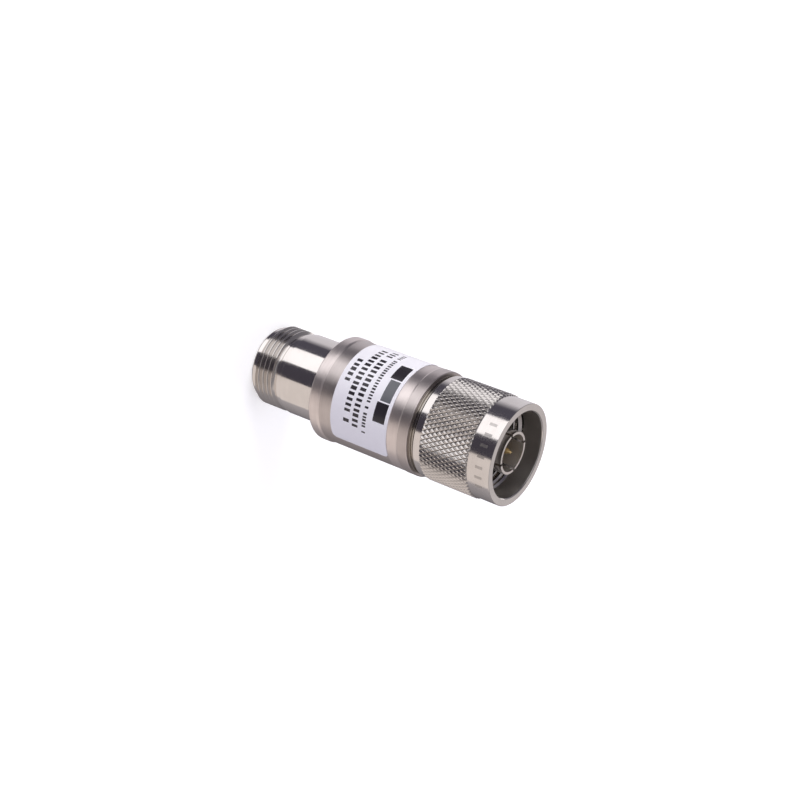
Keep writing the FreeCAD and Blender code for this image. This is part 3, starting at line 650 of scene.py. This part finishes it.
corner_rows = [LABEL_CORNER * (1 - math.cos(math.pi / 2 * step / LABEL_CORNER_STEPS))
               for step in range(LABEL_CORNER_STEPS + 1)]
film_rows = ([LABEL_LOW + rise for rise in corner_rows]
             + [LABEL_HIGH - rise for rise in reversed(corner_rows)])
film_mesh = bmesh.new()
skins = []
for reach in (LABEL_RADIUS, LABEL_RADIUS + LABEL_THICKNESS):
    skin = []
    for up in film_rows:
        to_edge = min(up - LABEL_LOW, LABEL_HIGH - up, LABEL_CORNER)
        inset = LABEL_CORNER - math.sqrt(LABEL_CORNER ** 2 - (LABEL_CORNER - to_edge) ** 2)
        inset = math.degrees(inset / LABEL_RADIUS)
        line = []
        for column in range(LABEL_COLUMNS + 1):
            turned = (LABEL_FIRST + inset
                      + (LABEL_LAST - LABEL_FIRST - 2 * inset) * column / LABEL_COLUMNS)
            spot = direction(turned, 0) * reach + Vector((0, 0, up))
            line.append(film_mesh.verts.new(spot * MM))
        skin.append(line)
    skins.append(skin)
    for low_line, high_line in zip(skin, skin[1:]):
        for column in range(LABEL_COLUMNS):
            film_mesh.faces.new((low_line[column], low_line[column + 1],
                                 high_line[column + 1], high_line[column]))
inner, outer = skins
for inner_line, outer_line in ((inner[0], outer[0]), (inner[-1], outer[-1]),
                               ([line[0] for line in inner], [line[0] for line in outer]),
                               ([line[-1] for line in inner], [line[-1] for line in outer])):
    for step in range(len(inner_line) - 1):
        film_mesh.faces.new((inner_line[step], inner_line[step + 1],
                             outer_line[step + 1], outer_line[step]))
label = finished(film_mesh, "label_sheet", label_film)
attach(label, "body")
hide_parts("rating_label")

# Flange washer: a thin nickel-plated brass ring, clamped between the housing's
# front face and the plug's flange. The plate is warm in tone. Its colour is
# also painted darker than the other nickel, as shade in the narrow gap, and
# deep in the gap beside the nut it carries a still darker painted shade.
WASHER_RADIUS, FLANGE_LOW = 9.45, 38.98

# Painted shade: deep in the gap the plate's colour drops to a quarter, and it is made rougher.
gap_shade_zone = zone_between(0, 8.9, 38.5, 44.5)
warm_shaded_nickel = turned_metal(
    "warm_shaded_nickel", light=(0.50, 0.465, 0.42, 1), dark=(0.36, 0.335, 0.305, 1),
    smooth=0.12, rough=0.24, mark_depth=0.0005, marks_per_mm=7.0,
    zones=[(gap_shade_zone, 0.25, 0.2)])

ring = bmesh.new()
turned_shell(ring, [
    (FRONT_BORE, HOUSING_HIGH, 0.0), (WASHER_RADIUS, HOUSING_HIGH, 0.06),
    (WASHER_RADIUS, FLANGE_LOW, 0.06), (FRONT_BORE, FLANGE_LOW, 0.0),
])
flange_washer = finished(ring, "flange_ring", warm_shaded_nickel)
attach(flange_washer, "body")
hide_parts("flange_washer")

# Plug body: turned brass under the same plate, held by its spigot in the
# housing's front bore. The nut turns on its journal, and the groove in the
# journal holds the snap ring.
PLUG_SPIGOT, PLUG_SPIGOT_LOW = 8.0, 33.43
FLANGE_RADIUS, FLANGE_HIGH = 9.15, 39.4
NECK_RADIUS, NECK_HIGH = 8.7, 39.72
JOURNAL_RADIUS, JOURNAL_HIGH = 7.3, 43.92
RING_GROOVE, RING_GROOVE_LOW, RING_GROOVE_HIGH = 6.6, 41.92, 43.02
FOOT_BORE, PLUG_BEAD_LOW, PLUG_BEAD_HIGH = 4.93, 38.02, 41.02

plug = bmesh.new()
turned_shell(plug, [
    (LINE_RADIUS, PLUG_SPIGOT_LOW, 0.0), (PLUG_SPIGOT, PLUG_SPIGOT_LOW, 0.1),
    (PLUG_SPIGOT, FLANGE_LOW, 0.0), (FLANGE_RADIUS, FLANGE_LOW, 0.05),
    (FLANGE_RADIUS, FLANGE_HIGH, 0.1), (NECK_RADIUS, FLANGE_HIGH, 0.0),
    (NECK_RADIUS, NECK_HIGH, 0.04), (JOURNAL_RADIUS, NECK_HIGH, 0.0),
    (JOURNAL_RADIUS, RING_GROOVE_LOW, 0.03), (RING_GROOVE, RING_GROOVE_LOW, 0.0),
    (RING_GROOVE, RING_GROOVE_HIGH, 0.0), (JOURNAL_RADIUS, RING_GROOVE_HIGH, 0.03),
    (JOURNAL_RADIUS, JOURNAL_HIGH, 0.15), (FOOT_BORE, JOURNAL_HIGH, 0.0),
    (FOOT_BORE, PLUG_BEAD_HIGH, 0.0), (BEAD_BORE, PLUG_BEAD_HIGH, 0.0),
    (BEAD_BORE, PLUG_BEAD_LOW, 0.0), (LINE_RADIUS, PLUG_BEAD_LOW, 0.0),
])
# The plug shell wears the washer's plate, with the same painted shade of the gap.
plug_body = finished(plug, "plug_shell", warm_shaded_nickel)
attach(plug_body, "body")
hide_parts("plug_body")

# Plug outer contact: a sprung tube under white bronze plate, its foot held in
# the plug body. Slots sawn across its mouth leave four fingers that press on
# the mating seat. Its bore is duller than its outside.
CONTACT_RADIUS, CONTACT_FOOT, CONTACT_TIP = 4.0, 4.9, 54.6
SAW_CUT, SAW_DEPTH, SAW_LENGTH = 0.5, 5.3, 12
SAW_ANGLES = (45, 135)

contact_bore_zone = zone_between(0, LINE_RADIUS + 0.02, 40, CONTACT_TIP - 0.1)
contact_bronze = turned_metal(
    "contact_bronze", light=(0.78, 0.74, 0.70, 1), dark=(0.66, 0.62, 0.58, 1),
    smooth=0.14, rough=0.26, mark_depth=0.0008, marks_per_mm=6.0,
    zones=[(contact_bore_zone, 0.88, 0.34)])

contact = bmesh.new()
turned_shell(contact, [
    (LINE_RADIUS, PLUG_BEAD_HIGH, 0.0), (CONTACT_FOOT, PLUG_BEAD_HIGH, 0.05),
    (CONTACT_FOOT, JOURNAL_HIGH, 0.0), (CONTACT_RADIUS, JOURNAL_HIGH, 0.05),
    (CONTACT_RADIUS, CONTACT_TIP, 0.03), (LINE_RADIUS, CONTACT_TIP, 0.02),
])
outer_contact = finished(contact, "contact_fingers", contact_bronze)
for cut_angle in SAW_ANGLES:
    saw = bmesh.new()
    bmesh.ops.create_cube(saw, size=1.0)
    bmesh.ops.scale(saw, verts=saw.verts, vec=(SAW_LENGTH * MM, SAW_CUT * MM, SAW_DEPTH * 2 * MM))
    bmesh.ops.rotate(saw, verts=saw.verts, matrix=Matrix.Rotation(math.radians(cut_angle), 3, "Z"))
    bmesh.ops.translate(saw, verts=saw.verts, vec=(0, 0, CONTACT_TIP * MM))
    saw_mesh = bpy.data.meshes.new("saw")
    saw.to_mesh(saw_mesh)
    saw.free()
    saw_blade = add_object("saw", saw_mesh)
    cut = outer_contact.modifiers.new("cut", "BOOLEAN")
    cut.solver = "EXACT"
    cut.object = saw_blade
    graph = bpy.context.evaluated_depsgraph_get()
    sawn = bpy.data.meshes.new_from_object(outer_contact.evaluated_get(graph), depsgraph=graph)
    outer_contact.modifiers.clear()
    outer_contact.data = sawn
    bpy.data.objects.remove(saw_blade)
outer_contact.data.set_sharp_from_angle(angle=SHARP_ANGLE)
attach(outer_contact, "body")
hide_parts("plug_outer_contact")

# Plug centre pin: gold plate on turned brass, held by its neck in the plug's
# bead, with a shoulder, a slim pin and a long point. Its lower end forks over
# the attenuator card.
CONDUCTOR, CONDUCTOR_NECK, PIN_RADIUS = 1.52, 1.05, 0.8
CONDUCTOR_LOW, PIN_SHOULDER, PIN_CONE_LOW, PIN_TIP = 33.2, 49.3, 52.4, 54.3
FORK_LOW, FORK_LENGTH, FORK_HALF_GAP = 31.4, 1.85, 0.47
FORK_STEPS = 24
PIN_COLUMNS = 64

gold_plate = turned_metal(
    "gold_plate", light=(0.96, 0.76, 0.38, 1), dark=(0.82, 0.62, 0.28, 1),
    smooth=0.12, rough=0.26, mark_depth=0.0004, marks_per_mm=9.0)

pin = bmesh.new()
turned_shell(pin, [
    (0.0, CONDUCTOR_LOW, 0.0), (CONDUCTOR, CONDUCTOR_LOW, 0.0),
    (CONDUCTOR, PLUG_BEAD_LOW, 0.05), (CONDUCTOR_NECK, PLUG_BEAD_LOW, 0.0),
    (CONDUCTOR_NECK, PLUG_BEAD_HIGH, 0.0), (CONDUCTOR, PLUG_BEAD_HIGH, 0.05),
    (CONDUCTOR, PIN_SHOULDER, 0.12), (PIN_RADIUS, PIN_SHOULDER, 0.05),
    (PIN_RADIUS, PIN_CONE_LOW, 0.3), (0.17, PIN_TIP - 0.06, 0.06), (0.0, PIN_TIP, 0.0),
], closed=False, columns=PIN_COLUMNS)
fork_angle = math.asin(FORK_HALF_GAP / CONDUCTOR)
fork_angles = [fork_angle + (math.pi - 2 * fork_angle) * step / FORK_STEPS
               for step in range(FORK_STEPS + 1)]
for side in (-1, 1):
    low_rim, high_rim = (
        [pin.verts.new(Vector((CONDUCTOR * math.cos(angle), side * CONDUCTOR * math.sin(angle),
                               up)) * MM) for angle in fork_angles]
        for up in (FORK_LOW, FORK_LOW + FORK_LENGTH))
    pin.faces.new(low_rim)
    pin.faces.new(high_rim)
    for step in range(len(fork_angles)):
        pin.faces.new((low_rim[step - 1], low_rim[step], high_rim[step], high_rim[step - 1]))
centre_pin = finished(pin, "gold_pin", gold_plate)
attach(centre_pin, "body")
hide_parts("plug_center_pin")

# Coupling nut: turned brass under bright nickel, held on the plug body by the
# snap ring. A diamond knurl is rolled between its smooth collar and its smooth
# band; inside are the mouth, the thread, a relief and the ring's groove.
KNURL_STARTS = 66
KNURL_ROWS = 11
KNURL_LOW, KNURL_HIGH = 41.30, 51.05
KNURL_HALF_ROW = (KNURL_HIGH - KNURL_LOW) / (KNURL_ROWS + 1)
KNURL_ROOT, KNURL_SHOULDER, KNURL_CREST = 9.53, 9.745, 9.78
CREST_SHARE, SHOULDER_SHARE = 0.24, 0.38
COLLAR_RADIUS, COLLAR_TOP = 9.62, 41.15
BAND_RADIUS, BAND_LOW = 9.52, 51.20
NUT_LOW, NUT_HIGH = 39.8, 55.7
NUT_BORE, NUT_MOUTH, MOUTH_LOW = 7.36, 8.05, 51.9
NUT_THREAD_LOW, NUT_THREAD_HIGH = 46.3, 51.5
NUT_GROOVE_LOW, NUT_GROOVE_HIGH, RELIEF_LOW = 41.92, 42.72, 43.3
HALF_STEP = math.pi / KNURL_STARTS
SEAM_HOLD = 0.03
SEAM_PARTS = 5
SEAM_WELD_M = 1e-6


def on_nut(reach, share, up):
    """A point of a tooth at angle 0: share is across it, from -1 to 1."""
    angle = share * HALF_STEP
    return Vector((reach * math.cos(angle), reach * math.sin(angle), up)) * MM


def tooth_mesh(name, halves, seam=None):
    """One knurl tooth. halves holds 1 for its upper half and -1 for its lower half.

    seam is the (radius, height) of the smooth turned edge that a half tooth ends on.
    """
    tooth = bmesh.new()
    levels = ((1.0, KNURL_ROOT), (SHOULDER_SHARE, KNURL_SHOULDER), (CREST_SHARE, KNURL_CREST))
    for half in halves:
        tips = [tooth.verts.new(on_nut(reach, 0, half * share * KNURL_HALF_ROW))
                for share, reach in levels]
        for side in (-1, 1):
            sides = [tooth.verts.new(on_nut(reach, side * share, 0)) for share, reach in levels]
            for step in (0, 1):
                tooth.faces.new((sides[step], tips[step], tips[step + 1], sides[step + 1]))
            middle = tooth.verts.new(on_nut(KNURL_CREST, 0, 0))
            tooth.faces.new((sides[2], tips[2], middle))
    if seam:
        shares = (-1.0, -SHOULDER_SHARE, -CREST_SHARE, 0.0, CREST_SHARE, SHOULDER_SHARE, 1.0)
        reaches = (KNURL_ROOT, KNURL_SHOULDER, KNURL_CREST, KNURL_CREST, KNURL_CREST,
                   KNURL_SHOULDER, KNURL_ROOT)
        upper = [tooth.verts.new(on_nut(reach, share, 0))
                 for share, reach in zip(shares, reaches)]
        lower = [tooth.verts.new(on_nut(seam[0], 2 * part / SEAM_PARTS - 1, seam[1]))
                 for part in range(SEAM_PARTS + 1)]
        tooth.faces.new((upper[0], upper[1], lower[1], lower[0]))
        tooth.faces.new((upper[1], upper[2], lower[2], lower[1]))
        tooth.faces.new((upper[2], upper[3], upper[4], lower[3], lower[2]))
        tooth.faces.new((upper[4], upper[5], lower[4], lower[3]))
        tooth.faces.new((upper[5], upper[6], lower[5], lower[4]))
    bmesh.ops.remove_doubles(tooth, verts=tooth.verts, dist=WELD_M)
    mesh = bpy.data.meshes.new(name)
    tooth.to_mesh(mesh)
    tooth.free()
    return mesh


# Knurl tree: the tooth is set round the nut, row over row, with each second
# row half a step on.
knurl_inputs = {}
knurl_tree = bpy.data.node_groups.new("knurl", "GeometryNodeTree")
knurl_tree.interface.new_socket("Geometry", in_out="OUTPUT", socket_type="NodeSocketGeometry")
tree_input(knurl_tree, "Tooth", "NodeSocketGeometry", knurl_inputs)
tree_input(knurl_tree, "Starts", "NodeSocketInt", knurl_inputs)
tree_input(knurl_tree, "Rows", "NodeSocketInt", knurl_inputs)
tree_input(knurl_tree, "First Height", "NodeSocketFloat", knurl_inputs)
tree_input(knurl_tree, "Row Height", "NodeSocketFloat", knurl_inputs)
tree_input(knurl_tree, "First Offset", "NodeSocketFloat", knurl_inputs)
tree_input(knurl_tree, "Material", "NodeSocketMaterial", knurl_inputs)
nodes = Nodes(knurl_tree)
given = nodes.add("NodeGroupInput", output=None)
tooth, starts, rows, first_height, row_height, first_offset = (
    Value(nodes, given.outputs[name]) for name in (
        "Tooth", "Starts", "Rows", "First Height", "Row Height", "First Offset"))
number = nodes.add("GeometryNodeInputIndex")
row = nodes.math("FLOOR", (number + 0.5) / starts)
step = number - row * starts
angle = (step + nodes.math("FRACT", (row + first_offset) / 2)) / starts * (2 * math.pi)
spots = nodes.add("GeometryNodePoints", inputs={
    "Count": starts * rows,
    "Position": nodes.add("ShaderNodeCombineXYZ", inputs={
        2: (first_height + row * row_height) * MM})})
turn = nodes.add("FunctionNodeEulerToRotation", inputs={
    0: nodes.add("ShaderNodeCombineXYZ", inputs={2: angle})})
teeth = nodes.add("GeometryNodeInstanceOnPoints", inputs={
    "Points": spots, "Instance": tooth, "Rotation": turn})
real = nodes.add("GeometryNodeRealizeInstances", inputs={"Geometry": teeth})
coated = nodes.add("GeometryNodeSetMaterial", inputs={
    "Geometry": real, "Material": Value(nodes, given.outputs["Material"])})
nodes.add("NodeGroupOutput", inputs={"Geometry": coated}, output=None)

STAMP_LOW, STAMP_HIGH = 52.8, 54.3
STAMP_FIRST, STAMP_LAST, STAMP_PITCH = -57, 27, 12.0
STAMP_SHARES = (0.36, 0.64)
STAMP_MARGIN = 0.1
GROOVE_SHADE_TOP = KNURL_SHOULDER - 0.04


def stamped_row(nodes, x, y, z):
    """A mask of plain short dashes pressed into the nut's smooth band."""
    turned_by = turn_about_axis(nodes, x, y)
    across = nodes.math("FRACT", (turned_by - STAMP_FIRST) / STAMP_PITCH)
    on_band = nodes.inside(reach_from_axis(nodes, x, y), BAND_RADIUS - STAMP_MARGIN,
                           BAND_RADIUS + STAMP_MARGIN)
    return (nodes.inside(across, *STAMP_SHARES) * nodes.inside(z, STAMP_LOW, STAMP_HIGH)
            * nodes.inside(turned_by, STAMP_FIRST, STAMP_LAST) * on_band)


# Painted shade: the knurl's grooves are darkened towards their bottoms, for the shade between the
# teeth.
def knurl_groove_shade(nodes, x, y, z):
    """A mask of painted shade that grows from the knurl's crests to the bottoms of its grooves."""
    reach = reach_from_axis(nodes, x, y)
    depth = 1 - stretched(nodes, reach, KNURL_ROOT, GROOVE_SHADE_TOP)
    return depth * nodes.inside(z, COLLAR_TOP + 0.01, BAND_LOW) * nodes.inside(reach, 9.4, 9.9)


# Painted shade: the mouth's bore is painted a little over half as bright, for the shade inside it,
# and made rougher. The knurl is a little darker and rougher, and the stamped dashes are darker and
# rougher.
mouth_shade_zone = zone_between(0, NUT_MOUTH + 0.07, MOUTH_LOW - 0.1, NUT_HIGH - 0.1)
knurl_zone = zone_between(9.0, 9.9, 41.2, 51.12)
nut_nickel = turned_metal(
    "nut_nickel", light=(0.76, 0.73, 0.70, 1), dark=(0.66, 0.63, 0.60, 1),
    smooth=0.09, rough=0.19, mark_depth=0.0006, marks_per_mm=7.0,
    zones=[(mouth_shade_zone, 0.58, 0.26), (knurl_zone, 0.93, 0.06),
           (knurl_groove_shade, 0.66, 0.08), (stamped_row, 0.72, 0.20)])

nut = bmesh.new()
lower_seam = (COLLAR_RADIUS, COLLAR_TOP - KNURL_LOW)
upper_seam = (BAND_RADIUS, BAND_LOW - KNURL_HIGH)
# tooth, rows of it, height of the first row, and 1.0 where that row is half a
# step on
knurl_parts = [
    (tooth_mesh("tooth", (1, -1)), KNURL_ROWS, KNURL_LOW + KNURL_HALF_ROW, 1.0),
    (tooth_mesh("lower_tooth", (1,), lower_seam), 1, KNURL_LOW, 0.0),
    (tooth_mesh("upper_tooth", (-1,), upper_seam), 1, KNURL_HIGH, 0.0),
]
for tooth_shape, row_count, first_height, first_offset in knurl_parts:
    nut.from_mesh(run_tree(knurl_tree, knurl_inputs, tooth_shape, {
        "Starts": KNURL_STARTS, "Rows": row_count, "First Height": first_height,
        "Row Height": KNURL_HALF_ROW, "First Offset": first_offset, "Material": nut_nickel}))
turned_shell(nut, [
    (BAND_RADIUS, BAND_LOW, 0.0), (BAND_RADIUS, BAND_LOW + SEAM_HOLD, 0.0),
    (BAND_RADIUS, NUT_HIGH, 0.1), (8.25, NUT_HIGH, 0.06), (NUT_MOUTH, 55.5, 0.04),
    (NUT_MOUTH, MOUTH_LOW, 0.0), (8.03, 51.85, 0.0), (8.03, 46.25, 0.0),
    (NUT_MOUTH, 46.2, 0.0), (NUT_MOUTH, RELIEF_LOW, 0.05), (NUT_BORE, RELIEF_LOW, 0.0),
    (NUT_BORE, NUT_GROOVE_HIGH, 0.0), (NUT_MOUTH, NUT_GROOVE_HIGH, 0.0),
    (NUT_MOUTH, NUT_GROOVE_LOW, 0.0), (NUT_BORE, NUT_GROOVE_LOW, 0.0), (NUT_BORE, NUT_LOW, 0.05),
    (COLLAR_RADIUS, NUT_LOW, 0.08), (COLLAR_RADIUS, COLLAR_TOP - SEAM_HOLD, 0.0),
    (COLLAR_RADIUS, COLLAR_TOP, 0.0),
], closed=False, columns=KNURL_STARTS * SEAM_PARTS, first_angle=-HALF_STEP)
bmesh.ops.remove_doubles(nut, verts=nut.verts, dist=SEAM_WELD_M)
nut.from_mesh(thread(crest=7.45, root=8.0, backing=NUT_MOUTH + 0.01, start=NUT_THREAD_LOW,
                     end=NUT_THREAD_HIGH, lead_in=0.08, lead_out=0.4))
coupling_nut = finished(nut, "knurled_nut", nut_nickel)
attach(coupling_nut, "nut")
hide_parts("coupling_nut")


# Inner pieces: the jack's contact and sleeve, both beads, the card with its
# print, the clamps, the spring washer, the gasket and the snap ring. They keep
# their solids, and each gets its own finish: moulded, fired, pressed or plated.
def plain_finish(name, light, dark, metallic, smooth, rough, grain_per_mm, grain_depth):
    """A cast, pressed, fired or moulded surface with its grain and patches."""
    material, nodes = new_material(name)
    place, _ = place_mm(nodes)
    grain = clouds(nodes, place, grain_per_mm)
    patches = stretched(nodes, clouds(nodes, place, 0.4), 0.3, 0.7)
    surface = nodes.add("ShaderNodeBsdfPrincipled", inputs={
        "Base Color": mixed(nodes, patches * 0.6 + grain * 0.4, light, dark),
        "Metallic": metallic,
        "Roughness": smooth + (rough - smooth) * grain,
        "Normal": nodes.add("ShaderNodeBump", inputs={
            "Height": grain, "Strength": 1.0, "Distance": grain_depth * MM})})
    nodes.add("ShaderNodeOutputMaterial", inputs={"Surface": surface}, output=None)
    return material


# light and dark tone, metallic, smoothest and roughest, grains to the
# millimetre and their depth in millimetres
PLAIN_FINISHES = {
    "white_plastic": ((0.86, 0.85, 0.82, 1), (0.78, 0.77, 0.74, 1), 0.0, 0.35, 0.5, 4.0, 0.002),
    "alumina": ((0.84, 0.83, 0.79, 1), (0.76, 0.75, 0.71, 1), 0.0, 0.55, 0.75, 12.0, 0.003),
    "resistor_print": ((0.03, 0.03, 0.035, 1), (0.06, 0.06, 0.065, 1), 0.0, 0.5, 0.75, 10.0, 0.003),
    "silver_print": ((0.80, 0.78, 0.74, 1), (0.68, 0.66, 0.62, 1), 1.0, 0.3, 0.5, 10.0, 0.002),
    "clamp_metal": ((0.76, 0.76, 0.77, 1), (0.66, 0.66, 0.67, 1), 1.0, 0.25, 0.4, 8.0, 0.002),
    "spring_steel": ((0.52, 0.51, 0.50, 1), (0.42, 0.41, 0.40, 1), 1.0, 0.2, 0.35, 6.0, 0.001),
    "gasket_rubber": ((0.05, 0.045, 0.042, 1), (0.085, 0.078, 0.072, 1), 0.0, 0.55, 0.75, 7.0,
                      0.004),
}
INNER_PIECES = {
    "jack_insulator": "white_plastic",
    "jack_retaining_sleeve": "bright_nickel",
    "jack_center_contact": "gold_plate",
    "attenuator_card": "alumina",
    "resistor_film": "resistor_print",
    "card_electrodes": "silver_print",
    "card_clamp_front": "clamp_metal",
    "card_clamp_back": "clamp_metal",
    "spring_washer": "spring_steel",
    "plug_insulator": "white_plastic",
    "mating_gasket": "gasket_rubber",
    "snap_ring": "spring_steel",
}

finishes = {"bright_nickel": bright_nickel, "gold_plate": gold_plate}
for name, values in PLAIN_FINISHES.items():
    finishes[name] = plain_finish(name, *values)
for node, finish in INNER_PIECES.items():
    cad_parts[node].material_slots[0].material = finishes[finish]
